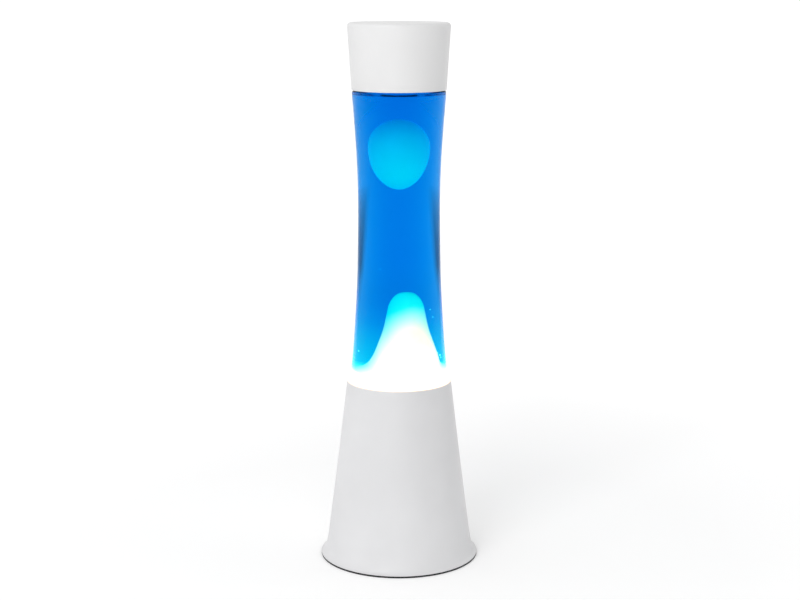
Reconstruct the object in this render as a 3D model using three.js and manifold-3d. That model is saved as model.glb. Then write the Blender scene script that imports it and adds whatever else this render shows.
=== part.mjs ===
// Lava lamp: a flared metal base, a waisted glass bottle of tinted liquid and wax, and a metal cap.
// Units are millimetres, +Z is up. The origin is the centre of the foot on the surface it stands on,
// and the cord inlet is at the back, on the +Y side.

import * as THREE from 'three';
import { mergeVertices } from 'three/addons/utils/BufferGeometryUtils.js';
import Module from 'manifold-3d';

const wasm = await Module();
wasm.setup();

// ---------------------------------------------------------------- driving dimensions

const TOTAL_HEIGHT = 395;
const ROUND = 36; // sides of the large turned shapes
const INNER_ROUND = 28; // sides of those that are out of sight
const SMALL_ROUND = 20; // sides of the small turned shapes
const GAP = 0.3; // between pieces that rest on each other
const RUNNING_GAP = 0.5; // between pieces that slide past each other

// painted base
const SHEET = 1.0;
const LIP_RADIUS = 58.45; // widest point of the flared foot
const LIP_HEIGHT = 1.3; // lowest edge of the sheet
const CONE_FOOT = { r: 53.1, z: 15.5 }; // where the flare meets the cone
const RIM_TOP = 134.1;
const RIM_RADIUS = 38.35;
const CONE_SAG = 0.3; // the cone is very slightly hollow

// bottle
const BOTTLE_BOTTOM = 113;
const GLASS_WALL = 2.4;
const HEEL = { r: 28.9, z: 121, radius: 8 };
const WAIST = { r: 29.8, z: 264 };
const SHOULDER = { r: 30.6, z: 343.6, radius: 3.25 };
const NECK_RADIUS = 13;
const NECK_WALL = 2.6;
const NECK_TOP = 384;

// what is in the bottle
const POOL_SURFACE = 140;
const MOUND_TOP = 200.2;
const MOUND_LEAN = { x: 4.1, y: -6 }; // how far the mound stands from the axis
const BLOB_BOTTOM = 275;
const BLOB_TOP = 326;
const BLOB_RADIUS = 17.2;
const BLOB_TRAVEL_UP = 14;
const LIQUID_TOP = 353;

// cap
const CAP_BOTTOM = 347.1;
const CAP_BOTTOM_RADIUS = 34.2;
const CAP_TOP_RADIUS = 37.05;
const CAP_CORNER = 2.8;
const CAP_WALL = 1.2;

// ledge that the bottle stands on
const LEDGE_TOP = 111.2;
const LEDGE_HOLE_RADIUS = 27;

// lampholder and bulb
const THREAD_PITCH = 2.822; // E14
const THREAD_MEAN_RADIUS = 6.55;
const THREAD_DEPTH = 0.7;
const BRACKET_TOP = 16.2;
const HOLDER_BOTTOM = 16.5;
const SLEEVE_BOTTOM = 27.8;
const SLEEVE_TOP = 50;
const EYELET_BOTTOM = 33;
const BULB_TOP = 99;
const BULB_RADIUS = 19.5;

// base plate and its fixings
const PLATE_BOTTOM = 1.3;
const PLATE_THICKNESS = 1.0;
const PLATE_RADIUS = 54.4;
const PLATE_TOP = PLATE_BOTTOM + PLATE_THICKNESS;
const SCREW_CIRCLE = 45.5;
const SCREW_RADIUS = 1.5;
const SCREW_HOLE = 1.9;
const RIVET_X = 25;

// cord inlet and terminal block
const GROMMET_HEIGHT = 24;
const GROMMET_BORE = 3.3;
const BLOCK = { x: 0, y: 29, z: PLATE_TOP + GAP, width: 26, depth: 11, height: 11 };
const POLE_PITCH = 8;
const LEAD_RADIUS = 0.9;
const EARTH_POINT = { x: 31, y: 14.5 };

// ---------------------------------------------------------------- materials

function finish(color, roughness, metalness, extra = {}) {
  return new THREE.MeshStandardMaterial({ color, roughness, metalness, ...extra });
}

const whitePaint = () => finish('#e9e9ec', 0.38, 0.0);
const zincSteel = () => finish('#a9adb2', 0.35, 0.9);
const brass = () => finish('#c9a24a', 0.3, 1.0);
const aluminium = () => finish('#c4c7ca', 0.35, 1.0);
const mirrorCoat = () => finish('#dfe3e6', 0.08, 1.0);
const blackRubber = () => finish('#17171a', 0.75, 0.0);
const siliconeRubber = () => finish('#d8d6cf', 0.6, 0.0);
const holderPlastic = () => finish('#e6e0d2', 0.45, 0.0);
const blackGlass = () => finish('#16161c', 0.15, 0.0);
const paleFoam = () => finish('#cfcfd4', 0.9, 0.0);
const clearGlass = () => finish('#f4fbff', 0.03, 0.0, { transparent: true, opacity: 0.35 });
const blueLiquid = () => finish('#007deb', 0.05, 0.0, { transparent: true, opacity: 0.6 });
const warmWax = () => finish('#f4fbe6', 0.45, 0.0);
const coolWax = () => finish('#00b4f0', 0.45, 0.0);
const tungsten = () => finish('#6d6a66', 0.4, 0.9);
const leadPlastic = (color) => () => finish(color, 0.4, 0.0);

// ---------------------------------------------------------------- outlines, as [radius, height] pairs

const range = (count) => Array.from({ length: count }, (_, i) => i);
const radians = (degrees) => (degrees * Math.PI) / 180;

// Points on a circle round (r, z), from one angle to another, both in degrees from the +r direction.
function arc(r, z, radius, from, to, steps = 4) {
  return range(steps + 1).map((i) => {
    const angle = radians(from + ((to - from) * i) / steps);
    return [r + radius * Math.cos(angle), z + radius * Math.sin(angle)];
  });
}

function bezier(a, b, c, d, steps) {
  const curve = new THREE.CubicBezierCurve(...[a, b, c, d].map((p) => new THREE.Vector2(...p)));
  return curve.getPoints(steps).map((p) => [p.x, p.y]);
}

function spline(stations, steps) {
  const curve = new THREE.SplineCurve(stations.map((p) => new THREE.Vector2(...p)));
  return curve.getPoints(steps).map((p) => [p.x, p.y]);
}

// The same outline moved sideways, towards its left as it is walked.
function offset(outline, distance) {
  return outline.map((point, i) => {
    const before = outline[Math.max(i - 1, 0)];
    const after = outline[Math.min(i + 1, outline.length - 1)];
    const run = after[0] - before[0];
    const rise = after[1] - before[1];
    const length = Math.hypot(run, rise);
    return [point[0] - (distance * rise) / length, point[1] + (distance * run) / length];
  });
}

const backwards = (outline) => [...outline].reverse();

// The stretch of a rising outline between two heights, with a new point at each end.
function between(outline, low, high) {
  const pointAt = (height) => {
    const i = outline.findIndex(([, z], k) => z <= height && outline[k + 1][1] > height);
    const [r0, z0] = outline[i];
    const [r1, z1] = outline[i + 1];
    return [r0 + ((r1 - r0) * (height - z0)) / (z1 - z0), height];
  };
  return [pointAt(low), ...outline.filter(([, z]) => z > low && z < high), pointAt(high)];
}

// ---------------------------------------------------------------- solids

// Turns an outline about Z. It starts and ends on the axis, or is closed here when it doesn't.
function turned(outline, sides = ROUND) {
  const points = outline.map(([r, z]) => new THREE.Vector2(Math.max(r, 0), z));
  const onAxis = outline[0][0] === 0 && outline.at(-1)[0] === 0;
  if (!onAxis) points.push(points[0].clone());
  return new THREE.LatheGeometry(points, sides).rotateX(Math.PI / 2);
}

function tube(innerRadius, outerRadius, bottom, top, sides = SMALL_ROUND) {
  return turned([[innerRadius, bottom], [outerRadius, bottom], [outerRadius, top], [innerRadius, top]], sides);
}

function rod(radius, bottom, top, sides = SMALL_ROUND) {
  return turned([[0, bottom], [radius, bottom], [radius, top], [0, top]], sides);
}

function block(x0, x1, y0, y1, z0, z1) {
  const box = new THREE.BoxGeometry(x1 - x0, y1 - y0, z1 - z0);
  return box.translate((x0 + x1) / 2, (y0 + y1) / 2, (z0 + z1) / 2);
}

// A flat sheet with holes, from outlines of [x, y] points.
function sheet(edge, holes, bottom, thickness) {
  const shape = new THREE.Shape(edge.map((p) => new THREE.Vector2(...p)));
  shape.holes = holes.map((hole) => new THREE.Path(hole.map((p) => new THREE.Vector2(...p))));
  const settings = { depth: thickness, bevelEnabled: false };
  return new THREE.ExtrudeGeometry(shape, settings).translate(0, 0, bottom);
}

const circle = (x, y, radius, sides = 12) =>
  range(sides).map((i) => {
    const angle = (2 * Math.PI * i) / sides;
    return [x + radius * Math.cos(angle), y + radius * Math.sin(angle)];
  });

// A round wire or insulated lead along a smooth path through the points.
function wire(points, radius, steps, sides = 6) {
  const path = new THREE.CatmullRomCurve3(points.map((p) => new THREE.Vector3(...p)), false, 'centripetal');
  const section = new THREE.Shape(
    range(sides).map((i) => {
      const angle = (2 * Math.PI * i) / sides;
      return new THREE.Vector2(radius * Math.cos(angle), radius * Math.sin(angle));
    }),
  );
  return new THREE.ExtrudeGeometry(section, { steps, extrudePath: path });
}

function toSolid(geometry) {
  const bare = geometry.clone();
  bare.deleteAttribute('normal');
  bare.deleteAttribute('uv');
  const merged = mergeVertices(bare, 1e-4);
  const index = merged.index.array;
  const triangles = [];
  for (let i = 0; i < index.length; i += 3) {
    const [a, b, c] = index.slice(i, i + 3);
    if (a !== b && b !== c && c !== a) triangles.push(a, b, c);
  }
  const mesh = new wasm.Mesh({
    numProp: 3,
    vertProperties: Float32Array.from(merged.attributes.position.array),
    triVerts: Uint32Array.from(triangles),
  });
  return new wasm.Manifold(mesh);
}

function toGeometry(solid) {
  const mesh = solid.getMesh();
  const geometry = new THREE.BufferGeometry();
  geometry.setAttribute('position', new THREE.BufferAttribute(Float32Array.from(mesh.vertProperties), 3));
  geometry.setIndex(new THREE.BufferAttribute(Uint32Array.from(mesh.triVerts), 1));
  geometry.computeVertexNormals();
  return geometry;
}

const cut = (body, ...tools) => toGeometry(tools.reduce((left, t) => left.subtract(toSolid(t)), toSolid(body)));
const join = (...bodies) => toGeometry(bodies.map(toSolid).reduce((sum, next) => sum.add(next)));

// Moves every vertex of a geometry by a rule from its old place to its new one.
function reshape(geometry, rule) {
  const position = geometry.attributes.position;
  for (let i = 0; i < position.count; i += 1) {
    position.setXYZ(i, ...rule(position.getX(i), position.getY(i), position.getZ(i)));
  }
  geometry.computeVertexNormals();
  return geometry;
}

// ---------------------------------------------------------------- the assembly

const lamp = new THREE.Group();

function add(name, geometry, material) {
  const mesh = new THREE.Mesh(geometry, material);
  mesh.name = name;
  lamp.add(mesh);
  return mesh;
}

// ---- painted base shell: flared foot, long cone, rounded rim

const coneRadius = (z) => {
  const t = (z - CONE_FOOT.z) / (RIM_TOP - CONE_FOOT.z);
  return CONE_FOOT.r + (RIM_RADIUS - CONE_FOOT.r) * t - CONE_SAG * 4 * t * (1 - t);
};
const CONE_TILT = Math.atan2(CONE_FOOT.r - RIM_RADIUS, RIM_TOP - CONE_FOOT.z);

function baseOutside() {
  const flare = bezier(
    [LIP_RADIUS, LIP_HEIGHT + 0.5],
    [55.1, 3.1],
    [53.6, 11.5],
    [CONE_FOOT.r, CONE_FOOT.z],
    6,
  );
  const coneStations = 4;
  const coneTop = RIM_TOP - SHEET / 2;
  const cone = range(coneStations).map((i) => {
    const z = CONE_FOOT.z + ((coneTop - CONE_FOOT.z) * (i + 1)) / coneStations;
    return [coneRadius(z), z];
  });
  return [...flare, ...cone];
}

function baseShell() {
  const outside = baseOutside();
  const inside = backwards(offset(outside, SHEET)).filter(([, z]) => z > LIP_HEIGHT + 0.1);
  const edge = arc(RIM_RADIUS - SHEET / 2, RIM_TOP - SHEET / 2, SHEET / 2, 45, 135, 2);
  const lip = [[LIP_RADIUS - 1.6, LIP_HEIGHT], [LIP_RADIUS - 0.2, LIP_HEIGHT]];
  const shell = turned([...outside, ...edge, ...inside, ...lip]);
  const drill = rod(5, -6, 6).rotateX(Math.PI / 2).rotateX(CONE_TILT);
  return cut(shell, drill.translate(0, coneRadius(GROMMET_HEIGHT), GROMMET_HEIGHT));
}

add('base_shell', baseShell(), whitePaint());

// ---- black ring that the foot stands on

const FOOT_RING_TOP = LIP_HEIGHT - GAP;
const footRing = [
  [50.5, 0],
  [58.1, 0],
  [58.4, 0.3],
  [58.4, FOOT_RING_TOP],
  [50.5, FOOT_RING_TOP],
];
add('foot_ring', turned(footRing), blackRubber());

// ---- base plate with vents

function ventSlot(radius, degrees) {
  const halfWidth = 2;
  const bends = [-8, 0, 8];
  const outer = bends.map((bend) => onCircle(radius + halfWidth, degrees + bend));
  const inner = bends.map((bend) => onCircle(radius - halfWidth, degrees - bend));
  return [...outer, ...inner];
}

const TAB_ANGLES = [30, 150, 270];
const onCircle = (radius, degrees) => [radius * Math.cos(radians(degrees)), radius * Math.sin(radians(degrees))];

function basePlate() {
  const vents = range(12).map((i) => ventSlot(38, 15 + 30 * i));
  const innerVents = range(4).map((i) => ventSlot(15, 45 + 90 * i));
  const screwHoles = TAB_ANGLES.map((angle) => circle(...onCircle(SCREW_CIRCLE, angle), SCREW_HOLE));
  const rivetHoles = [-RIVET_X, RIVET_X].map((x) => circle(x, 0, SCREW_HOLE));
  const earthHole = circle(EARTH_POINT.x, EARTH_POINT.y, SCREW_HOLE);
  const holes = [...vents, ...innerVents, ...screwHoles, ...rivetHoles, earthHole];
  return sheet(circle(0, 0, PLATE_RADIUS, ROUND), holes, PLATE_BOTTOM, PLATE_THICKNESS);
}

add('base_plate', basePlate(), zincSteel());

// ---- tabs welded in the shell, and the screws that hold the plate to them

const TAB_BOTTOM = PLATE_TOP + GAP;
const TAB_THICKNESS = 1.2;

function tab(degrees) {
  const halfWidth = 5;
  const wallFace = 50.7;
  const leaf = block(SCREW_CIRCLE - 5, wallFace, -halfWidth, halfWidth, TAB_BOTTOM, TAB_BOTTOM + TAB_THICKNESS);
  const upright = block(wallFace - TAB_THICKNESS, wallFace, -halfWidth, halfWidth, TAB_BOTTOM, 18);
  const drill = rod(SCREW_HOLE, TAB_BOTTOM - 1, TAB_BOTTOM + 3, 12).translate(SCREW_CIRCLE, 0, 0);
  return cut(join(leaf, upright), drill).rotateZ(radians(degrees));
}

// A screw seen as a turned shape: a cheese head under the plate and a plain shank above it.
function plateScrew(degrees) {
  const headTop = PLATE_BOTTOM - GAP;
  const outline = [
    [0, 0.3],
    [2.4, 0.3],
    [2.8, 0.6],
    [2.8, headTop],
    [SCREW_RADIUS, headTop],
    [SCREW_RADIUS, 8],
    [0.6, 9.2],
    [0, 9.2],
  ];
  return turned(outline, 12).translate(...onCircle(SCREW_CIRCLE, degrees), 0);
}

TAB_ANGLES.forEach((degrees, i) => {
  add(`plate_tab_${i + 1}`, tab(degrees), zincSteel());
  add(`plate_screw_${i + 1}`, plateScrew(degrees), zincSteel());
});

// ---- ledge for the bottle and the soft ring on it

function bottleLedge() {
  const skirtBottom = 100;
  const clear = SHEET + GAP + 0.1;
  return turned([
    [LEDGE_HOLE_RADIUS, LEDGE_TOP - SHEET],
    [coneRadius(LEDGE_TOP) - clear - SHEET, LEDGE_TOP - SHEET],
    [coneRadius(skirtBottom) - clear - SHEET, skirtBottom],
    [coneRadius(skirtBottom) - clear, skirtBottom],
    [coneRadius(LEDGE_TOP) - clear, LEDGE_TOP],
    [LEDGE_HOLE_RADIUS, LEDGE_TOP],
  ], INNER_ROUND);
}

add('bottle_ledge', bottleLedge(), zincSteel());
add('ledge_cushion', tube(27.5, 36, LEDGE_TOP + GAP, BOTTLE_BOTTOM - GAP, INNER_ROUND), siliconeRubber());

// ---- bracket for the lampholder, with its rivets, nipple and nut

const NIPPLE_RADIUS = 5;
const NIPPLE_BORE = 3.5;

function holderBracket() {
  const halfWidth = 9;
  const strip = 1.2;
  const footZ = PLATE_TOP + GAP;
  const legX = 20;
  const pieces = [block(-legX, legX, -halfWidth, halfWidth, BRACKET_TOP - strip, BRACKET_TOP)];
  for (const side of [-1, 1]) {
    const legFrom = Math.min(side * legX, side * (legX - strip));
    const footFrom = Math.min(side * (legX - strip), side * 30);
    const footTo = Math.max(side * (legX - strip), side * 30);
    pieces.push(block(legFrom, legFrom + strip, -halfWidth, halfWidth, footZ, BRACKET_TOP));
    pieces.push(block(footFrom, footTo, -halfWidth, halfWidth, footZ, footZ + strip));
  }
  const nippleHole = rod(NIPPLE_RADIUS + GAP, BRACKET_TOP - 3, BRACKET_TOP + 3);
  const rivetHoles = [-1, 1].map((side) => rod(SCREW_HOLE, 0, 8, 12).translate(side * RIVET_X, 0, 0));
  return cut(join(...pieces), nippleHole, ...rivetHoles);
}

function bracketRivet(x) {
  const lowerHeadTop = PLATE_BOTTOM - GAP;
  const upperHeadBottom = PLATE_TOP + GAP + 1.2 + GAP;
  const outline = [
    [0, 0.3],
    [2.6, 0.3],
    [2.6, lowerHeadTop],
    [SCREW_RADIUS, lowerHeadTop],
    [SCREW_RADIUS, upperHeadBottom],
    [2.6, upperHeadBottom],
    [1.8, upperHeadBottom + 1.1],
    [0, upperHeadBottom + 1.4],
  ];
  return turned(outline, 12).translate(x, 0, 0);
}

function hexNut(acrossFlats, hole, bottom, top) {
  const edge = circle(0, 0, acrossFlats / Math.sqrt(3), 6);
  return sheet(edge, [circle(0, 0, hole)], bottom, top - bottom);
}

add('holder_bracket', holderBracket(), zincSteel());
add('bracket_rivet_1', bracketRivet(-RIVET_X), aluminium());
add('bracket_rivet_2', bracketRivet(RIVET_X), aluminium());
add('holder_nipple', tube(NIPPLE_BORE, NIPPLE_RADIUS, 9.6, 21.5), zincSteel());
add('nipple_nut', hexNut(14, NIPPLE_RADIUS + GAP, 11.2, BRACKET_TOP - 1.2 - GAP), brass());

// ---- lampholder: cup, sleeve, threaded shell and centre contact

const holderCup = [
  [NIPPLE_RADIUS + GAP, HOLDER_BOTTOM],
  [10.5, HOLDER_BOTTOM],
  [12.6, HOLDER_BOTTOM + 2.2],
  [12.6, SLEEVE_BOTTOM - GAP],
  [10.8, SLEEVE_BOTTOM - GAP],
  [10.8, HOLDER_BOTTOM + 3.6],
  [NIPPLE_RADIUS + GAP, HOLDER_BOTTOM + 3.6],
];
add('holder_cup', turned(holderCup, SMALL_ROUND), holderPlastic());

const SLEEVE_BORE = 8.15;
const SLEEVE_FLOOR = SLEEVE_BOTTOM + 2.4;
const holderSleeve = [
  [2, SLEEVE_BOTTOM],
  [12.6, SLEEVE_BOTTOM],
  [12.6, 33],
  [14, 33.4],
  [14, 35.6],
  [12, 36],
  [11.4, SLEEVE_TOP - 0.8],
  [10.6, SLEEVE_TOP],
  [SLEEVE_BORE, SLEEVE_TOP],
  [SLEEVE_BORE, SLEEVE_FLOOR],
  [2, SLEEVE_FLOOR],
];
add('holder_sleeve', turned(holderSleeve, SMALL_ROUND), holderPlastic());

// Waves the radius of a turned wall into a right-hand thread. Only vertices that the test picks move.
function thread(geometry, bottom, top, isThreaded) {
  const runOut = THREAD_PITCH * 0.7;
  return reshape(geometry, (x, y, z) => {
    const radius = Math.hypot(x, y);
    if (!isThreaded(radius) || z <= bottom || z >= top) return [x, y, z];
    const fade = Math.min(1, (z - bottom) / runOut, (top - z) / runOut);
    const phase = (2 * Math.PI * z) / THREAD_PITCH - Math.atan2(y, x);
    const wave = (radius + (THREAD_DEPTH / 2) * fade * Math.cos(phase)) / radius;
    return [x * wave, y * wave, z];
  });
}

// Heights along a threaded wall, four to each turn of the thread.
function threadHeights(bottom, top) {
  const count = Math.round(((top - bottom) / THREAD_PITCH) * 4);
  return range(count + 1).map((i) => bottom + ((top - bottom) * i) / count);
}

function holderShell() {
  const bottom = SLEEVE_FLOOR + 1;
  const top = SLEEVE_TOP - 1.6;
  const bore = THREAD_MEAN_RADIUS + RUNNING_GAP;
  const outside = 7.8;
  const inner = backwards(threadHeights(bottom, top)).map((z) => [bore, z]);
  const shell = turned([[outside, bottom], [outside, top], ...inner], SMALL_ROUND);
  return thread(shell, bottom, top, (radius) => radius < (bore + outside) / 2);
}

add('holder_shell', holderShell(), brass());

function centreContact() {
  const bottom = SLEEVE_FLOOR + GAP;
  const leaf = new THREE.Shape();
  leaf.moveTo(-4.4, bottom);
  leaf.lineTo(1.2, bottom);
  leaf.lineTo(1.2, bottom + 0.4);
  leaf.lineTo(-3.4, bottom + 0.4);
  leaf.lineTo(-0.6, EYELET_BOTTOM - GAP - 0.4);
  leaf.lineTo(2.4, EYELET_BOTTOM - GAP - 0.4);
  leaf.lineTo(2.4, EYELET_BOTTOM - GAP);
  leaf.lineTo(-0.8, EYELET_BOTTOM - GAP);
  leaf.closePath();
  const width = 3;
  const strip = new THREE.ExtrudeGeometry(leaf, { depth: width, bevelEnabled: false });
  return strip.rotateX(Math.PI / 2).translate(0, width / 2, 0);
}

add('centre_contact', centreContact(), brass());

// ---- reflector bulb: glass, mirror coat, cap, insulator, eyelet, stem, wires and filament

const BULB_WALL = 0.8;
const BULB_NECK_RADIUS = 5.3;
const BULB_NECK_BOTTOM = 46.5;

function bulbOutside() {
  const flare = bezier([BULB_NECK_RADIUS, 53], [BULB_NECK_RADIUS, 62], [BULB_RADIUS, 68], [BULB_RADIUS, 83], 7);
  const dome = bezier([BULB_RADIUS, 83], [BULB_RADIUS, 93], [13, BULB_TOP], [0, BULB_TOP], 5);
  return [[BULB_NECK_RADIUS, BULB_NECK_BOTTOM], ...flare, ...dome.slice(1)];
}

// The wall is walked from its inner apex down to the open neck, and back up outside.
function bulbGlass() {
  const outside = bulbOutside();
  const inside = backwards(offset(outside.slice(0, -1), BULB_WALL));
  return turned([[0, BULB_TOP - BULB_WALL], ...inside, ...outside], SMALL_ROUND);
}

function mirrorCoatSkin() {
  const thickness = 0.3;
  const lined = bulbOutside().filter(([, z]) => z > 57 && z < 84);
  const outer = offset(lined, BULB_WALL + GAP);
  const inner = backwards(offset(lined, BULB_WALL + GAP + thickness));
  return turned([...outer, ...inner], SMALL_ROUND);
}

function bulbCap() {
  const bottom = 36.6;
  const top = 52;
  const threadBottom = bottom + 1;
  const threadTop = top - 1.8;
  const wall = threadHeights(threadBottom, threadTop).map((z) => [THREAD_MEAN_RADIUS, z]);
  const bore = 5.75;
  const outline = [[bore, bottom], [THREAD_MEAN_RADIUS - 0.2, bottom], ...wall, [6.3, top], [bore, top]];
  return thread(turned(outline, SMALL_ROUND), threadBottom, threadTop, (radius) => radius > 6.5);
}

const insulatorOutline = [
  [2.9, 34.6],
  [5.6, 36.2],
  [5.35, 36.5],
  [5.35, 38],
  [2.9, 38],
];

const eyeletOutline = [
  [0, EYELET_BOTTOM],
  [1.9, EYELET_BOTTOM],
  [2.5, EYELET_BOTTOM + 0.6],
  [2.5, 38.4],
  [0, 38.4],
];

const STEM_TOP = 70;
const stemOutline = [
  [0, 47],
  [2.6, 47],
  [2.6, 52],
  [1.9, 58],
  [1.7, STEM_TOP - 1],
  [0, STEM_TOP],
];

// Two wires stand beside the stem and hold the filament in an arc across their tips.
const SUPPORT_TOP = 78;
const SUPPORT_X = 6;

function supportWire(side) {
  const points = [
    [side * 3.5, 0, 48],
    [side * 3.5, 0, 56],
    [side * 3.9, 0, 62],
    [side * SUPPORT_X, 0, 72],
    [side * SUPPORT_X, 0, SUPPORT_TOP],
  ];
  return wire(points, 0.35, 8);
}

function filament() {
  const turns = 12;
  const stepsPerTurn = 5;
  const coil = 0.7;
  const halfSpan = SUPPORT_X;
  const points = range(turns * stepsPerTurn + 1).map((i) => {
    const along = i / (turns * stepsPerTurn);
    const angle = 2 * Math.PI * (i / stepsPerTurn);
    const x = halfSpan * (2 * along - 1);
    const z = SUPPORT_TOP + 1.4 + 2 * Math.sin(Math.PI * along);
    return [x, coil * Math.cos(angle), z + coil * Math.sin(angle)];
  });
  return wire(points, 0.15, turns * stepsPerTurn, 3);
}

add('bulb_glass', bulbGlass(), clearGlass());
add('bulb_mirror_coat', mirrorCoatSkin(), mirrorCoat());
add('bulb_cap', bulbCap(), aluminium());
add('bulb_insulator', turned(insulatorOutline, SMALL_ROUND), blackGlass());
add('bulb_eyelet', turned(eyeletOutline, SMALL_ROUND), brass());
add('bulb_stem', turned(stemOutline, 16), clearGlass());
add('support_wire_1', supportWire(-1), zincSteel());
add('support_wire_2', supportWire(1), zincSteel());
add('filament', filament(), tungsten());

// ---- terminal block, its screws, and the leads

const poleX = (pole) => BLOCK.x + (pole - 1) * POLE_PITCH;
const LEAD_Z = BLOCK.z + 4;

function terminalBlock() {
  const bottom = BLOCK.z;
  const base = block(
    BLOCK.x - BLOCK.width / 2,
    BLOCK.x + BLOCK.width / 2,
    BLOCK.y - BLOCK.depth / 2,
    BLOCK.y + BLOCK.depth / 2,
    bottom,
    bottom + 8,
  );
  const towers = range(3).map((pole) => rod(3.2, bottom + 5, bottom + BLOCK.height, 12).translate(poleX(pole), BLOCK.y, 0));
  const wireHoles = range(3).map((pole) =>
    rod(1.5, -10, 10, 12).rotateX(Math.PI / 2).translate(poleX(pole), BLOCK.y, LEAD_Z));
  const screwHoles = range(3).map((pole) => rod(2, LEAD_Z, bottom + 20, 12).translate(poleX(pole), BLOCK.y, 0));
  return cut(join(base, ...towers), ...wireHoles, ...screwHoles);
}

function terminalScrew(pole) {
  const tip = LEAD_Z + LEAD_RADIUS + GAP;
  return rod(1.6, tip, BLOCK.z + BLOCK.height - 1, 12).translate(poleX(pole), BLOCK.y, 0);
}

add('terminal_block', terminalBlock(), holderPlastic());
range(3).forEach((pole) => add(`terminal_screw_${pole + 1}`, terminalScrew(pole), brass()));

// A lead from one pole of the block, under the bracket and up through the bore of the nipple.
function holderLead(pole, x) {
  const points = [
    [poleX(pole), BLOCK.y + 2, LEAD_Z],
    [poleX(pole), BLOCK.y - 8, LEAD_Z],
    [(poleX(pole) + x) / 2, 14, LEAD_Z - 1],
    [x, 5, LEAD_Z - 1],
    [x, 0.6, LEAD_Z + 2.2],
    [x, 0, 14],
    [x, 0, 24.5],
  ];
  return wire(points, LEAD_RADIUS, 24);
}

function earthLead() {
  const points = [
    [poleX(2), BLOCK.y + 2, LEAD_Z],
    [poleX(2), BLOCK.y - 8, LEAD_Z],
    [16, EARTH_POINT.y + 2.6, LEAD_Z - 1],
    [EARTH_POINT.x - 7.5, EARTH_POINT.y + 2.2, PLATE_TOP + 2.4],
  ];
  return wire(points, LEAD_RADIUS, 20);
}

add('live_lead', holderLead(1, 1.5), leadPlastic('#7a4a2b')());
add('neutral_lead', holderLead(0, -1.5), leadPlastic('#2b62a8')());
add('earth_lead', earthLead(), leadPlastic('#5c9a3a')());

function earthTerminal() {
  const bottom = PLATE_TOP + GAP;
  const thickness = 0.8;
  const eye = sheet(circle(0, 0, 3.6), [circle(0, 0, SCREW_HOLE)], bottom, thickness);
  const tongue = block(-5.8, -3, -1.4, 1.4, bottom, bottom + thickness);
  return join(eye, tongue).rotateZ(radians(-16)).translate(EARTH_POINT.x, EARTH_POINT.y, 0);
}

function earthScrew() {
  const headBottom = PLATE_TOP + GAP + 0.8 + GAP;
  const outline = [
    [0, 0.6],
    [SCREW_RADIUS, 1],
    [SCREW_RADIUS, headBottom],
    [2.9, headBottom],
    [2.9, headBottom + 1.4],
    [2.4, headBottom + 1.8],
    [0, headBottom + 1.8],
  ];
  return turned(outline, 12).translate(EARTH_POINT.x, EARTH_POINT.y, 0);
}

add('earth_terminal', earthTerminal(), zincSteel());
add('earth_screw', earthScrew(), brass());

// ---- grommet where the cord comes in, square to the cone

function cordGrommet() {
  const outerFace = 0.5; // from the shell's outside to the flange
  const innerFace = -(SHEET + 1.1); // clears the curve of the shell's inside
  const outline = [
    [GROMMET_BORE, innerFace - 2],
    [5.8, innerFace - 2],
    [6.4, innerFace - 1.2],
    [6.4, innerFace],
    [4.6, innerFace],
    [4.6, outerFace],
    [7, outerFace],
    [6.8, outerFace + 1.6],
    [5.4, outerFace + 2.6],
    [GROMMET_BORE + 0.5, outerFace + 2.6],
    [GROMMET_BORE, outerFace + 2.1],
  ];
  const piece = turned(outline, SMALL_ROUND).rotateX(-Math.PI / 2).rotateX(CONE_TILT);
  return piece.translate(0, coneRadius(GROMMET_HEIGHT), GROMMET_HEIGHT);
}

add('cord_grommet', cordGrommet(), blackRubber());

// ---- glass bottle: hollow foot, rounded heel, waist, flat shoulder, neck with a bead

const BOTTLE_FOOT = [
  [0, BOTTLE_BOTTOM + 2],
  [20, BOTTLE_BOTTOM + 1.2],
  [26, BOTTLE_BOTTOM],
];

function bottleSide() {
  const heel = arc(HEEL.r, HEEL.z, HEEL.radius, -90, 0, 4);
  const stations = [
    [HEEL.r + HEEL.radius, HEEL.z],
    [36.8, 129],
    [36.2, 136],
    [34.2, 153],
    [32.0, 184],
    [30.5, 216],
    [WAIST.r, WAIST.z],
    [30.5, 294],
    [32.2, 322],
    [SHOULDER.r + SHOULDER.radius, SHOULDER.z],
  ];
  const side = spline(stations, 10);
  const shoulder = arc(SHOULDER.r, SHOULDER.z, SHOULDER.radius, 0, 84, 3);
  return [...heel, ...side.slice(1), ...shoulder.slice(1)];
}

function bottleNeck() {
  const root = [SHOULDER.r, SHOULDER.z + SHOULDER.radius];
  return bezier(root, [20, root[1] + 1], [NECK_RADIUS, 350], [NECK_RADIUS, 362], 4);
}

const BEAD = [
  [NECK_RADIUS, 377],
  [NECK_RADIUS + 0.7, 378],
  [NECK_RADIUS + 0.7, NECK_TOP - 1],
  [NECK_RADIUS - 0.2, NECK_TOP],
  [NECK_RADIUS - NECK_WALL + 0.5, NECK_TOP],
  [NECK_RADIUS - NECK_WALL, NECK_TOP - 0.8],
];

function bottleInside(gap) {
  const wall = GLASS_WALL + gap;
  const side = offset(bottleSide(), wall);
  const neck = offset(bottleNeck(), NECK_WALL + gap);
  return [...side, ...neck];
}

function glassBottle() {
  const outside = [...BOTTLE_FOOT, ...bottleSide(), ...bottleNeck().slice(1), ...BEAD];
  const inside = backwards(bottleInside(0));
  return turned([...outside, ...inside, [0, inside.at(-1)[1]]]);
}

add('glass_bottle', glassBottle(), clearGlass());

// ---- wax pool with its leaning mound, and the heating coil in the corner of the bottle

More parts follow.
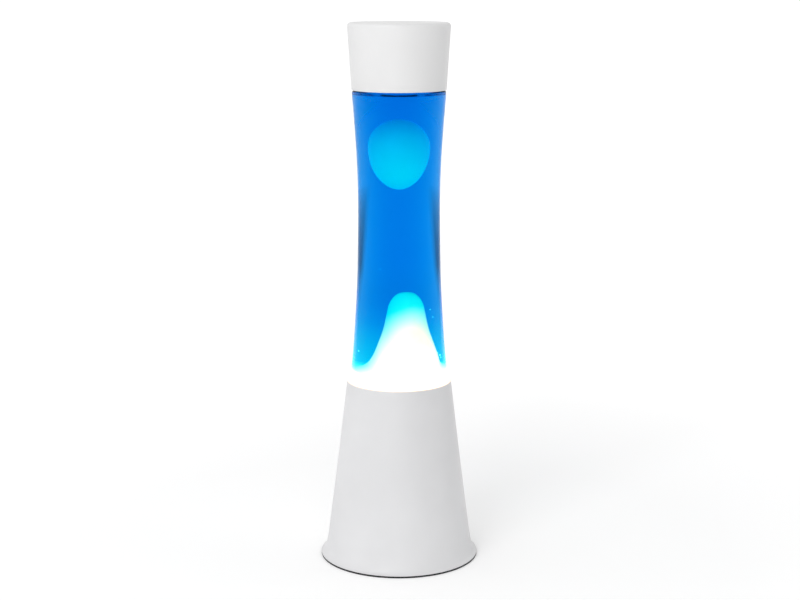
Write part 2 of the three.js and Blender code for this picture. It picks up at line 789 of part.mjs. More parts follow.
const COIL = { ring: 28.6, turn: 2.2, wire: 0.5, z: 120.4 };
const MOUND = [
  [0, MOUND_TOP],
  [5.5, 198.6],
  [9.4, 193.5],
  [10.9, 187],
  [12, 173],
  [14.2, 162.5],
  [17, 152.8],
  [21.5, 144.5],
  [26.5, POOL_SURFACE + 0.6],
];

// The mound keeps its full lean out to this radius and has none at the glass.
function lean(geometry) {
  const full = 18;
  const none = 31;
  return reshape(geometry, (x, y, z) => {
    const share = Math.min(1, Math.max(0, (none - Math.hypot(x, y)) / (none - full)));
    const rise = Math.min(1, Math.max(0, (z - 130) / 8));
    return [x + MOUND_LEAN.x * share * rise, y + MOUND_LEAN.y * share * rise, z];
  });
}

function waxPool() {
  const floor = bottleInside(GAP)[0][1];
  const notchRadius = COIL.ring - COIL.turn - 1;
  const notchTop = COIL.z + COIL.turn + 1;
  const wallSide = between(bottleInside(GAP), notchTop, POOL_SURFACE);
  const outline = [
    [0, floor],
    [notchRadius, floor],
    [notchRadius, notchTop],
    ...wallSide,
    ...backwards(MOUND),
  ];
  return lean(turned(outline, INNER_ROUND));
}

function heatingCoil() {
  const turns = 20;
  const stepsPerTurn = 6;
  const joint = radians(8); // the ends of the coil don't quite meet
  const count = turns * stepsPerTurn;
  const points = range(count + 1).map((i) => {
    const around = joint / 2 + ((2 * Math.PI - joint) * i) / count;
    const turn = (2 * Math.PI * i) / stepsPerTurn;
    const r = COIL.ring + COIL.turn * Math.cos(turn);
    return [r * Math.cos(around), r * Math.sin(around), COIL.z + COIL.turn * Math.sin(turn)];
  });
  return wire(points, COIL.wire, count, 4);
}

add('wax_pool', waxPool(), warmWax());
add('heating_coil', heatingCoil(), zincSteel());

// ---- liquid, open below round the mound, with room for the blob to rise and sink

function liquid() {
  const clear = RUNNING_GAP;
  const wallSide = between(bottleInside(GAP), POOL_SURFACE + GAP, LIQUID_TOP);
  const shaftRadius = BLOB_RADIUS + clear;
  const shaftTop = BLOB_TOP + BLOB_TRAVEL_UP + clear;
  const sway = Math.hypot(MOUND_LEAN.x, MOUND_LEAN.y) + 1;
  const aboveMound = MOUND.slice(2, -1).map(([r, z]) => [Math.max(r + sway, shaftRadius), z + 1]);
  const outline = [
    [0, shaftTop],
    [shaftRadius - 4, shaftTop],
    [shaftRadius, shaftTop - 4],
    ...aboveMound,
    [31.5, POOL_SURFACE + GAP],
    ...wallSide,
    [0, LIQUID_TOP],
  ];
  return turned(outline, INNER_ROUND);
}

add('liquid', liquid(), blueLiquid());

// ---- floating blob: an egg, blunt end up

function waxBlob() {
  const middle = 305;
  const steps = 7;
  const lower = range(steps + 1).map((i) => {
    const angle = radians(90 * (1 - i / steps));
    return [BLOB_RADIUS * Math.cos(angle) ** 1.15, middle - (middle - BLOB_BOTTOM) * Math.sin(angle)];
  });
  const upper = arc(0, 0, 1, 0, 90, steps - 1).map(([r, z]) => [BLOB_RADIUS * r, middle + (BLOB_TOP - middle) * z]);
  const outline = [...lower, ...upper.slice(1)].map(([r, z]) => [r < 0.01 ? 0 : r, z]);
  return turned(outline, INNER_ROUND);
}

add('wax_blob', waxBlob(), coolWax());

// ---- crown closure and its sealing disc

const CROWN_TOP = NECK_TOP + 2.2;

function crownClosure() {
  const skin = 0.4;
  const inside = NECK_RADIUS + 0.7 + GAP + 0.1;
  const outline = [
    [0, CROWN_TOP - skin],
    [inside - 0.4, CROWN_TOP - skin],
    [inside, CROWN_TOP - skin - 0.6],
    [inside + 0.1, NECK_TOP - 2],
    [inside + 0.7, NECK_TOP - 4.4],
    [inside + 1.2, NECK_TOP - 4.4],
    [inside + 0.6, NECK_TOP - 2],
    [inside + skin, CROWN_TOP - 1],
    [inside - 0.6, CROWN_TOP],
    [0, CROWN_TOP],
  ];
  return turned(outline, 30);
}

add('crown_closure', crownClosure(), aluminium());
add('sealing_disc', rod(NECK_RADIUS - 0.2, NECK_TOP + GAP, CROWN_TOP - 0.4 - GAP), siliconeRubber());

// ---- cap: a shallow painted cup, with a collar that finds the neck and a foam pad

function capOutside() {
  const cornerCentre = [CAP_TOP_RADIUS - CAP_CORNER, TOTAL_HEIGHT - CAP_CORNER];
  const corner = arc(...cornerCentre, CAP_CORNER, 0, 90, 5);
  const lowerEdge = arc(CAP_BOTTOM_RADIUS - 0.5, CAP_BOTTOM + 0.5, 0.5, -90, -10, 3);
  return [...lowerEdge, ...corner, [0, TOTAL_HEIGHT]];
}

function lampCap() {
  const roofBottom = TOTAL_HEIGHT - CAP_WALL;
  const innerCorner = arc(CAP_TOP_RADIUS - CAP_CORNER, TOTAL_HEIGHT - CAP_CORNER, CAP_CORNER - CAP_WALL, 90, 0, 3);
  const inside = [[0, roofBottom], ...innerCorner, [CAP_BOTTOM_RADIUS - CAP_WALL, CAP_BOTTOM + 0.5]];
  return turned([...inside, [CAP_BOTTOM_RADIUS - CAP_WALL + 0.3, CAP_BOTTOM], ...capOutside()]);
}

function capCollar() {
  const top = TOTAL_HEIGHT - CAP_WALL - GAP;
  const bottom = 371;
  const inner = 15.7;
  const outer = 17.1;
  const ring = tube(inner, outer, bottom, top, 30);
  const flange = tube(inner, 29, top - 1.2, top, 30);
  const ribs = range(6).map((i) => block(outer - 0.3, 27, -0.7, 0.7, 382, top - 0.6).rotateZ(radians(60 * i + 15)));
  return join(ring, flange, ...ribs);
}

add('lamp_cap', lampCap(), whitePaint());
add('cap_collar', capCollar(), holderPlastic());
add('cap_pad', rod(14.8, CROWN_TOP + GAP, TOTAL_HEIGHT - CAP_WALL - GAP), paleFoam());

export default lamp;
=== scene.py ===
"""The looks of a lava lamp: painted steel base, waisted glass bottle of liquid and wax, painted cap.

Outlines are (radius, height) pairs in millimetres, turned about Z; everything else is in metres.
"""

import math

import bmesh
import bpy
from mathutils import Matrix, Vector, noise


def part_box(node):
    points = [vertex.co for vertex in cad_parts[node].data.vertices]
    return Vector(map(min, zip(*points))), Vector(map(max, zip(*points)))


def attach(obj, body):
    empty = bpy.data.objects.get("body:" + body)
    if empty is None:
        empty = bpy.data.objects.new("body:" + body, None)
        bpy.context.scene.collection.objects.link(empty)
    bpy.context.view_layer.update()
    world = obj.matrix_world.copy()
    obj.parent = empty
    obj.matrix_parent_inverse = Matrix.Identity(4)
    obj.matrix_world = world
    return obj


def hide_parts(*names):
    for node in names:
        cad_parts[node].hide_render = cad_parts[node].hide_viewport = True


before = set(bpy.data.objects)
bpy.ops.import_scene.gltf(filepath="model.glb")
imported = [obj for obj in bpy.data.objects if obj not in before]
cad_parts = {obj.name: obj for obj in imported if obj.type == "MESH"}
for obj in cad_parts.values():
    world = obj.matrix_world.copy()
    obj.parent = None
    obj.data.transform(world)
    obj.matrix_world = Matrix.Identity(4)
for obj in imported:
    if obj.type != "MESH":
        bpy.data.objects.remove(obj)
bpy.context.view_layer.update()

MM = 0.001
SMOOTH_SIDES = 192

# Angles in degrees beyond which an edge shows as a corner
CREASE = 35
GLASS_CREASE = 60
WIRE_CREASE = 50

# ---------------------------------------------------------------- camera and light paths

CAMERA_PLACE = (0.0007, -1.192, 0.427)
CAMERA_PITCH = math.radians(11.08)
CAMERA_LENS = 74.4
SENSOR_WIDTH = 36.0
CLIP_END = 50.0

scene = bpy.context.scene
camera_data = bpy.data.cameras.new("camera")
camera_data.lens = CAMERA_LENS
camera_data.sensor_width = SENSOR_WIDTH
camera_data.clip_end = CLIP_END
camera = bpy.data.objects.new("camera", camera_data)
camera.location = CAMERA_PLACE
camera.rotation_euler = (math.pi / 2 - CAMERA_PITCH, 0.0, 0.0)
scene.collection.objects.link(camera)
scene.camera = camera

scene.view_settings.view_transform = "Standard"
scene.cycles.max_bounces = 24
scene.cycles.transmission_bounces = 20
scene.cycles.glossy_bounces = 6
scene.cycles.diffuse_bounces = 4
scene.cycles.caustics_reflective = True
scene.cycles.caustics_refractive = True

# ---------------------------------------------------------------- outlines


def arc(r, z, radius, start, end, steps=10):
    """Points on a circle round (r, z), between two angles in degrees."""
    angles = [math.radians(start + (end - start) * i / steps) for i in range(steps + 1)]
    return [(r + radius * math.cos(a), z + radius * math.sin(a)) for a in angles]


def bezier(a, b, c, d, steps=16):
    """Points on the curve from a to d that b and c pull on."""
    points = []
    for i in range(steps + 1):
        t = i / steps
        weights = ((1 - t) ** 3, 3 * t * (1 - t) ** 2, 3 * t * t * (1 - t), t**3)
        points.append(tuple(sum(w * p[k] for w, p in zip(weights, (a, b, c, d))) for k in (0, 1)))
    return points


def spline(stations, steps=6):
    """A smooth curve through the stations."""
    first = tuple(2 * stations[0][k] - stations[1][k] for k in (0, 1))
    last = tuple(2 * stations[-1][k] - stations[-2][k] for k in (0, 1))
    padded = [first, *stations, last]
    points = [stations[0]]
    for p0, p1, p2, p3 in zip(padded, padded[1:], padded[2:], padded[3:]):
        for i in range(1, steps + 1):
            t = i / steps
            points.append(
                tuple(
                    0.5
                    * (
                        2 * b
                        + (c - a) * t
                        + (2 * a - 5 * b + 4 * c - d) * t * t
                        + (3 * b - a - 3 * c + d) * t**3
                    )
                    for a, b, c, d in zip(p0, p1, p2, p3)
                )
            )
    return points


def offset(outline, distance):
    """The outline moved sideways, to the left as it is walked."""
    moved = []
    for i, (r, z) in enumerate(outline):
        before = outline[max(i - 1, 0)]
        after = outline[min(i + 1, len(outline) - 1)]
        run, rise = after[0] - before[0], after[1] - before[1]
        length = math.hypot(run, rise)
        moved.append((r - distance * rise / length, z + distance * run / length))
    return moved


def above(outline, height):
    """The part of a rising outline above a height, starting with a point at that height."""
    kept = [p for p in outline if p[1] > height]
    before = [p for p in outline if p[1] <= height][-1]
    t = (height - before[1]) / (kept[0][1] - before[1])
    return [(before[0] + t * (kept[0][0] - before[0]), height), *kept]


def below(outline, height):
    """The part of a rising outline below a height, ending with a point at that height."""
    kept = [p for p in outline if p[1] < height]
    after = [p for p in outline if p[1] >= height][0]
    t = (height - kept[-1][1]) / (after[1] - kept[-1][1])
    return [*kept, (kept[-1][0] + t * (after[0] - kept[-1][0]), height)]


# ---------------------------------------------------------------- meshes


def finish_mesh(name, vertices, faces, crease):
    """A mesh object from vertices in metres, smooth except at edges sharper than the crease."""
    data = bpy.data.meshes.new(name)
    data.from_pydata(vertices, [], faces)
    work = bmesh.new()
    work.from_mesh(data)
    bmesh.ops.recalc_face_normals(work, faces=work.faces)
    for face in work.faces:
        face.smooth = True
    work.to_mesh(data)
    work.free()
    data.set_sharp_from_angle(angle=math.radians(crease))
    piece = bpy.data.objects.new(name, data)
    scene.collection.objects.link(piece)
    return piece


def turned(name, outline, sides=SMOOTH_SIDES, crease=CREASE, shape=None):
    """Turns an outline about Z. It closes on itself where it doesn't start and end on the axis.

    shape, where given, moves each point: (radius, angle, height) to (x, y, z), all in millimetres.
    """
    closed = not (outline[0][0] == 0 and outline[-1][0] == 0)
    vertices, rings, faces = [], [], []
    for r, z in outline:
        if r == 0:
            rings.append([len(vertices)])
            point = shape(0, 0, z) if shape else (0, 0, z)
            vertices.append([c * MM for c in point])
            continue
        ring = []
        for i in range(sides):
            angle = 2 * math.pi * i / sides
            point = shape(r, angle, z) if shape else (r * math.cos(angle), r * math.sin(angle), z)
            ring.append(len(vertices))
            vertices.append([c * MM for c in point])
        rings.append(ring)
    pairs = list(zip(rings, rings[1:]))
    if closed:
        pairs.append((rings[-1], rings[0]))
    for lower, upper in pairs:
        for i in range(sides):
            j = (i + 1) % sides
            if len(lower) == 1 and len(upper) == 1:
                continue
            if len(lower) == 1:
                faces.append((lower[0], upper[j], upper[i]))
            elif len(upper) == 1:
                faces.append((lower[i], lower[j], upper[0]))
            else:
                faces.append((lower[i], lower[j], upper[j], upper[i]))
    return finish_mesh(name, vertices, faces, crease)


WIRE_END = 0.7


def wire(name, points, radius, sides=10):
    """A round wire along a path, in millimetres, a little narrower at its ends."""
    path = [Vector(p) for p in points]
    vertices, faces, rings = [], [], []
    side = None
    for i, point in enumerate(path):
        ahead = (path[min(i + 1, len(path) - 1)] - path[max(i - 1, 0)]).normalized()
        if side is None:
            side = ahead.orthogonal().normalized()
        side = (side - ahead * side.dot(ahead)).normalized()
        up = ahead.cross(side)
        at_end = i in (0, len(path) - 1)
        reach = radius * (WIRE_END if at_end else 1.0)
        ring = []
        for k in range(sides):
            a = 2 * math.pi * k / sides
            ring.append(len(vertices))
            vertices.append((point + (side * math.cos(a) + up * math.sin(a)) * reach) * MM)
        rings.append(ring)
    for lower, upper in zip(rings, rings[1:]):
        for k in range(sides):
            m = (k + 1) % sides
            faces.append((lower[k], lower[m], upper[m], upper[k]))
    faces.append(tuple(reversed(rings[0])))
    faces.append(tuple(rings[-1]))
    return finish_mesh(name, vertices, faces, WIRE_CREASE)


def place(piece, body, material, replaces=()):
    """Gives a piece its material and body, and takes the named CAD nodes out of sight."""
    piece.data.materials.append(material)
    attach(piece, body)
    if replaces:
        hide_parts(*replaces)
    return piece


# ---------------------------------------------------------------- node materials


class Look:
    """A node material in the making: a Principled shader, and the textures that drive it."""

    def __init__(self, name):
        self.material = bpy.data.materials.new(name)
        self.material.use_nodes = True
        self.tree = self.material.node_tree
        self.shader = self.tree.nodes["Principled BSDF"]
        self.output = self.tree.nodes["Material Output"]
        self.coords = self.node("ShaderNodeTexCoord").outputs["Object"]

    def node(self, kind, **settings):
        made = self.tree.nodes.new(kind)
        for key, value in settings.items():
            setattr(made, key, value)
        return made

    def link(self, source, target):
        self.tree.links.new(source, target)

    def set(self, **values):
        """Sets the shader's own sockets; underscores in a name stand for spaces."""
        for key, value in values.items():
            self.shader.inputs[key.replace("_", " ")].default_value = value

    def stretched(self, scale):
        mapping = self.node("ShaderNodeMapping")
        mapping.inputs["Scale"].default_value = scale
        self.link(self.coords, mapping.inputs["Vector"])
        return mapping.outputs["Vector"]

    def noise(self, scale, detail=3.0, roughness=0.5, coords=None):
        made = self.node("ShaderNodeTexNoise")
        made.inputs["Scale"].default_value = scale
        made.inputs["Detail"].default_value = detail
        made.inputs["Roughness"].default_value = roughness
        self.link(coords or self.coords, made.inputs["Vector"])
        return made.outputs["Fac"]

    def ramp(self, source, stops, smooth=False):
        """A colour or a grey level along a value from 0 to 1."""
        made = self.node("ShaderNodeValToRGB")
        made.color_ramp.interpolation = "EASE" if smooth else "LINEAR"
        elements = made.color_ramp.elements
        while len(elements) < len(stops):
            elements.new(0.5)
        for element, (position, colour) in zip(elements, stops):
            element.position = position
            element.color = (*colour, 1.0) if len(colour) == 3 else (colour[0],) * 3 + (1.0,)
        self.link(source, made.inputs["Fac"])
        return made.outputs["Color"]

    def math(self, operation, a, b):
        made = self.node("ShaderNodeMath", operation=operation)
        for socket, value in zip(made.inputs, (a, b)):
            if isinstance(value, (int, float)):
                socket.default_value = value
            else:
                self.link(value, socket)
        return made.outputs["Value"]

    def map_range(self, source, low, high, to_low=0.0, to_high=1.0):
        made = self.node("ShaderNodeMapRange")
        made.inputs["From Min"].default_value = low
        made.inputs["From Max"].default_value = high
        made.inputs["To Min"].default_value = to_low
        made.inputs["To Max"].default_value = to_high
        self.link(source, made.inputs["Value"])
        return made.outputs["Result"]

    def split(self):
        made = self.node("ShaderNodeSeparateXYZ")
        self.link(self.coords, made.inputs["Vector"])
        return made.outputs["X"], made.outputs["Y"], made.outputs["Z"]

    def bump(self, height, strength, distance, normal=None):
        made = self.node("ShaderNodeBump")
        made.inputs["Strength"].default_value = strength
        made.inputs["Distance"].default_value = distance
        self.link(height, made.inputs["Height"])
        if normal:
            self.link(normal, made.inputs["Normal"])
        self.link(made.outputs["Normal"], self.shader.inputs["Normal"])
        return made.outputs["Normal"]

    def drive(self, name, source):
        self.link(source, self.shader.inputs[name])

    def vary(self, name, source, low, high):
        """Drives a colour or a grey level between two values, each given with where it is reached."""
        self.drive(name, self.ramp(source, [low, high]))

    def absorb(self, tint, density):
        """Fills the inside with a tint that deepens along the way through it."""
        body = self.node("ShaderNodeVolumeAbsorption")
        body.inputs["Color"].default_value = (*tint, 1.0)
        body.inputs["Density"].default_value = density
        self.link(body.outputs["Volume"], self.output.inputs["Volume"])


# Painted light: a warm glow along the base's upper rim, its depth below the rim edge and its colours.
PAINTED_RIM_GLOW_DEPTH = 0.0009
PAINTED_RIM_GLOW = [(0.0, (0.0, 0.0, 0.0)), (0.5, (0.35, 0.20, 0.10)), (1.0, (0.9, 0.66, 0.38))]


def painted(name, dark, light, painted_rim_glow=None):
    """Satin powder coat: fine orange peel, slight change of tone and sheen.

    The last argument is the height of an upper edge that gets a painted warm glow, emission standing in for
    the bulb's light.
    """
    look = Look(name)
    tone = look.noise(9.0, 4.0, 0.6)
    look.drive("Base Color", look.ramp(tone, [(0.3, dark), (0.7, light)], smooth=True))
    look.vary("Roughness", look.noise(30.0, 5.0), (0.3, (0.36,)), (0.75, (0.46,)))
    peel = look.noise(650.0, 3.0, 0.55)
    soft = look.noise(90.0, 2.0)
    first = look.bump(peel, 0.10, 0.0004)
    look.bump(soft, 0.08, 0.0012, first)
    look.set(Specular_IOR_Level=0.45)
    # Painted light: emission along the rim's top edge stands in for the bulb's warm light.
    if painted_rim_glow:
        _, _, height = look.split()
        lit = look.map_range(height, painted_rim_glow - PAINTED_RIM_GLOW_DEPTH, painted_rim_glow)
        look.drive("Emission Color", look.ramp(lit, PAINTED_RIM_GLOW))
        look.set(Emission_Strength=1.0)
    return look.material


def metal(name, dark, light, rough=(0.25, 0.45), grain=(1.0, 1.0, 1.0)):
    """Bare or plated metal with a fine grain and a slight change of tone."""
    look = Look(name)
    coords = look.stretched(grain)
    look.vary("Base Color", look.noise(70.0, 6.0, 0.6, coords), (0.3, dark), (0.7, light))
    look.vary("Roughness", look.noise(220.0, 5.0, 0.6, coords), (0.3, (rough[0],)), (0.7, (rough[1],)))
    look.bump(look.noise(900.0, 4.0, 0.6, coords), 0.15, 0.0002)
    look.set(Metallic=1.0)
    return look.material


def moulded(name, dark, light, rough=(0.4, 0.6), grain=500.0, strength=0.2):
    """Moulded plastic or rubber with a fine skin texture."""
    look = Look(name)
    look.vary("Base Color", look.noise(45.0, 4.0), (0.3, dark), (0.7, light))
    look.vary("Roughness", look.noise(160.0, 4.0), (0.3, (rough[0],)), (0.7, (rough[1],)))
    look.bump(look.noise(grain, 3.0, 0.6), strength, 0.0003)
    return look.material


GLASS_TINT = (0.0, 0.90, 0.94)
GLASS_DENSITY = 60.0
GLASS_IOR = 1.06
# Painted light: a faint glow low in the glass, the heights it fades over and its colours.
PAINTED_GLASS_GLOW_HEIGHTS = (0.134, 0.196)
PAINTED_GLASS_GLOW = [(0.0, (0.0, 0.13, 0.11)), (0.4, (0.0, 0.06, 0.05)), (1.0, (0.0, 0.0, 0.0))]


def glass(name, tint_dark, tint_light):
    """Blown glass: faintly aqua, slightly uneven, with a painted glow low down where it stands in the base:
    emission standing in for the bulb's light.
    """
    look = Look(name)
    look.vary("Base Color", look.noise(12.0, 2.0), (0.3, tint_dark), (0.7, tint_light))
    look.vary("Roughness", look.noise(40.0, 3.0), (0.35, (0.0,)), (0.8, (0.012,)))
    look.bump(look.noise(22.0, 1.5, 0.4), 0.04, 0.002)
    _, _, height = look.split()
    # Painted light: emission by height, brightest at the bottom, stands in for the light coming up from the
    # base.
    look.drive("Emission Color", look.ramp(look.map_range(height, *PAINTED_GLASS_GLOW_HEIGHTS), PAINTED_GLASS_GLOW))
    look.set(Transmission_Weight=1.0, IOR=GLASS_IOR, Emission_Strength=1.0)
    look.set(Specular_Tint=(0.05, 0.05, 0.05, 1.0))
    look.absorb(GLASS_TINT, GLASS_DENSITY)
    return look.material


LIQUID_TINT = (0.0, 0.797, 0.963)
LIQUID_DENSITY = 140.0
LIQUID_IOR = 1.34
# Painted light: a green glow low in the liquid, the heights it fades over and its colours.
PAINTED_LIQUID_GLOW_HEIGHTS = (0.134, 0.230)
PAINTED_LIQUID_GLOW = [
    (0.0, (0.0, 0.60, 0.05)),
    (0.25, (0.0, 0.30, 0.0)),
    (0.5, (0.0, 0.05, 0.0)),
    (1.0, (0.0, 0.0, 0.0)),
]


def tinted_liquid():
    """Dyed liquid: clear and strongly blue, with a painted greenish glow low down that stands in for the
    wax's light from below.
    """
    look = Look("blue_liquid")
    _, _, height = look.split()
    # Painted light: emission by height, strongest at the bottom, stands in for the wax's light.
    look.drive("Emission Color", look.ramp(look.map_range(height, *PAINTED_LIQUID_GLOW_HEIGHTS), PAINTED_LIQUID_GLOW))
    look.vary("Base Color", look.noise(14.0, 2.0), (0.3, (0.96, 0.99, 1.0)), (0.7, (1.0, 1.0, 1.0)))
    look.set(Transmission_Weight=1.0, IOR=LIQUID_IOR, Roughness=0.0, Emission_Strength=0.5)
    look.set(Specular_Tint=(0.0, 0.0, 0.0, 1.0))
    look.absorb(LIQUID_TINT, LIQUID_DENSITY)
    return look.material


DOME_DEPTH = 0.008
WAX_WANDER = 0.002


def wax_with_painted_glow(name, low, high, stops, strength, skin, dome=None):
    """Wax with a painted glow that changes with height, in a softly domed pattern: emission standing in for
    the bulb's light from below.

    dome is the x that the pattern is highest at, and how fast it falls away to the sides.
    """
    look = Look(name)
    x, _, height = look.split()
    wander = look.map_range(look.noise(28.0, 2.0), 0.2, 0.8, -WAX_WANDER, WAX_WANDER)
    level = look.math("ADD", height, wander)
    if dome:
        aside = look.math("SUBTRACT", x, dome[0])
        fall = look.math("MULTIPLY", look.math("MULTIPLY", aside, aside), dome[1])
        level = look.math("ADD", level, look.math("MINIMUM", fall, DOME_DEPTH))
    # Painted light: the emission colour by height stands in for the bulb's light through the wax.
    look.drive("Emission Color", look.ramp(look.map_range(level, low, high), stops))
    look.set(Emission_Strength=strength)
    look.drive("Base Color", look.ramp(look.noise(60.0, 3.0), skin))
    look.vary("Roughness", look.noise(120.0, 3.0), (0.3, (0.35,)), (0.7, (0.5,)))
    look.bump(look.noise(120.0, 2.0), 0.05, 0.0006)
    return look.material


PAINT = painted("white_paint", (0.615, 0.615, 0.625), (0.660, 0.660, 0.670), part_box("base_shell")[1].z)
CAP_PAINT = painted("cap_paint", (0.660, 0.660, 0.662), (0.700, 0.700, 0.702))
ZINC = metal("zinc_steel", (0.30, 0.31, 0.33), (0.44, 0.45, 0.47), (0.28, 0.5))
BRASS = metal("brass", (0.50, 0.34, 0.12), (0.66, 0.47, 0.18), (0.2, 0.4))
ALUMINIUM = metal("aluminium", (0.50, 0.51, 0.53), (0.66, 0.67, 0.69), (0.25, 0.45))
MIRROR = metal("mirror_coat", (0.68, 0.70, 0.72), (0.80, 0.82, 0.84), (0.05, 0.14))
RUBBER = moulded("black_rubber", (0.006, 0.006, 0.008), (0.014, 0.014, 0.016), (0.6, 0.85), 800.0)
SILICONE = moulded("pale_silicone", (0.60, 0.59, 0.55), (0.72, 0.71, 0.67), (0.5, 0.7), 400.0)
CREAM = moulded("cream_plastic", (0.74, 0.70, 0.60), (0.82, 0.78, 0.69), (0.35, 0.5), 600.0, 0.1)
BLACK_GLASS = moulded("black_glass", (0.004, 0.004, 0.007), (0.012, 0.012, 0.018), (0.08, 0.2), 300.0, 0.05)
FOAM = moulded("pale_foam", (0.52, 0.52, 0.55), (0.70, 0.70, 0.73), (0.85, 0.98), 1400.0, 0.7)
TUNGSTEN = metal("tungsten", (0.12, 0.11, 0.11), (0.22, 0.21, 0.20), (0.3, 0.5))
GLASS = glass("clear_glass", (0.975, 0.995, 0.99), (1.0, 1.0, 1.0))
LIQUID = tinted_liquid()
LEADS = {
    "brown_lead": moulded("brown_lead", (0.15, 0.06, 0.02), (0.22, 0.09, 0.035)),
    "blue_lead": moulded("blue_lead", (0.02, 0.10, 0.34), (0.04, 0.15, 0.44)),
    "green_lead": moulded("green_lead", (0.10, 0.28, 0.04), (0.42, 0.50, 0.06)),
}
# The mound's colours are painted light: emission by height, strongly red low down so that it shows white
# and cream through the blue liquid, and cyan higher up.
MOUND_WAX = wax_with_painted_glow(
    "pale_wax",
    0.130,
    0.204,
    [
        (0.00, (0.60, 0.45, 0.38)),
        (0.21, (1.60, 0.38, 0.32)),
        (0.35, (2.60, 0.34, 0.27)),
        (0.50, (2.60, 0.32, 0.12)),
        (0.64, (1.90, 0.32, 0.12)),
        (0.74, (0.90, 0.31, 0.15)),
        (0.81, (0.24, 0.30, 0.16)),
        (0.85, (0.00, 0.29, 0.16)),
        (1.00, (0.00, 0.28, 0.16)),
    ],
    4.0,
    [(0.3, (0.72, 0.76, 0.70)), (0.7, (0.80, 0.82, 0.77))],
    dome=(0.007, 40.0),
)
# The floating blob's glow is painted light: brighter at its bottom and darker at its top, as if lit from
# below.
BLOB_WAX = wax_with_painted_glow(
    "blue_wax",
    0.272,
    0.328,
    [
        (0.00, (0.00, 1.12, 1.02)),
        (0.25, (0.00, 1.00, 0.95)),
        (0.50, (0.00, 0.78, 0.88)),
        (1.00, (0.00, 0.44, 0.75)),
    ],
    1.0,
    [(0.3, (0.02, 0.10, 0.12)), (0.7, (0.03, 0.14, 0.16))],
)
# The beads' glow is painted light: warm white low down, fading to teal higher.
BEAD_WAX = wax_with_painted_glow(
    "bead_wax",
    0.130,
    0.260,
    [(0.0, (1.0, 0.9, 0.8)), (0.5, (0.5, 0.8, 0.6)), (1.0, (0.0, 0.35, 0.35))],
    3.0,
    [(0.3, (0.72, 0.76, 0.70)), (0.7, (0.80, 0.82, 0.77))],
)

FINISHES = {
    "white_paint": PAINT,
    "zinc_steel": ZINC,
    "brass": BRASS,
    "aluminium": ALUMINIUM,
    "mirror_coat": MIRROR,
    "black_rubber": RUBBER,
    "pale_silicone": SILICONE,
    "cream_plastic": CREAM,
    "black_glass": BLACK_GLASS,
    "pale_foam": FOAM,
    "clear_glass": GLASS,
    "blue_liquid": LIQUID,
    "pale_wax": MOUND_WAX,
    "blue_wax": BLOB_WAX,
    "tungsten": TUNGSTEN,
    **LEADS,
}

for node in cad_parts.values():
    packed = node.data.materials[0].name.split(".")[0]
    node.data.materials.clear()
    node.data.materials.append(FINISHES[packed])

# ---------------------------------------------------------------- painted base

RIM_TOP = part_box("base_shell")[1].z / MM
SHEET = 1.0
CONE_FOOT = (53.1, 15.5)
CONE_TOP = (38.35, RIM_TOP)
CONE_HOLLOW = 1.2


def cone_radius(z):
    """The cone's outside radius; it is very slightly hollow between foot and rim."""
    t = (z - CONE_FOOT[1]) / (CONE_TOP[1] - CONE_FOOT[1])
    return CONE_FOOT[0] + (CONE_TOP[0] - CONE_FOOT[0]) * t - CONE_HOLLOW * t * (1 - t)


def base_outline():
    steps = 24
    flare = bezier((58.45, 1.8), (55.1, 3.1), (53.6, 11.5), CONE_FOOT, steps)
    top = RIM_TOP - SHEET / 2
    heights = [CONE_FOOT[1] + (top - CONE_FOOT[1]) * (i + 1) / steps for i in range(steps)]
    outside = [*flare, *[(cone_radius(z), z) for z in heights]]
    inside = [p for p in reversed(offset(outside, SHEET)) if p[1] > 1.5]
    rim = arc(CONE_TOP[0] - SHEET / 2, top, SHEET / 2, 10, 170, 10)
    lip = [(56.9, 1.3), *arc(58.25, 1.5, 0.2, -90, 0, 4)]
    return [*outside, *rim, *inside, *lip]


place(turned("base_paint", base_outline()), "base", PAINT, ["base_shell"])

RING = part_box("foot_ring")
RING_IN, RING_OUT, RING_TOP = 50.5, RING[1].x / MM, RING[1].z / MM
foot_outline = [
    (RING_IN, 0.25),
    *arc(RING_IN + 0.25, 0.25, 0.25, 180, 270, 4),
    *arc(RING_OUT - 0.3, 0.3, 0.3, -90, 0, 5),
    (RING_OUT, RING_TOP),
    (RING_IN, RING_TOP),
]
place(turned("foot_rubber", foot_outline), "base", RUBBER, ["foot_ring"])

LEDGE_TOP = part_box("bottle_ledge")[1].z / MM
LEDGE_SKIRT = 100.0
LEDGE_HOLE = 27.5
ledge_outline = [
    *arc(LEDGE_HOLE, LEDGE_TOP - 0.5, 0.5, 270, 90, 8),
    *arc(cone_radius(LEDGE_TOP) - 2.4, LEDGE_TOP - 1, 1.0, 90, 10, 6),
    (cone_radius(LEDGE_SKIRT) - 1.4, LEDGE_SKIRT),
    (cone_radius(LEDGE_SKIRT) - 2.4, LEDGE_SKIRT),
    (cone_radius(LEDGE_TOP) - 2.6, LEDGE_TOP - 1.0),
]
place(turned("ledge_ring", ledge_outline), "base", ZINC, ["bottle_ledge"])

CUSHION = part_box("ledge_cushion")
CUSHION_RADIUS = 36
cushion_low, cushion_high = CUSHION[0].z / MM, CUSHION[1].z / MM
cushion_mid = (cushion_low + cushion_high) / 2
cushion_round = (cushion_high - cushion_low) / 2
cushion_outline = [
    *arc(CUSHION_RADIUS - cushion_round, cushion_mid, cushion_round, -90, 90, 8),
    *arc(LEDGE_HOLE + cushion_round, cushion_mid, cushion_round, 90, 270, 8),
]
place(turned("ledge_silicone", cushion_outline), "base", SILICONE, ["ledge_cushion"])

# ---------------------------------------------------------------- glass bottle

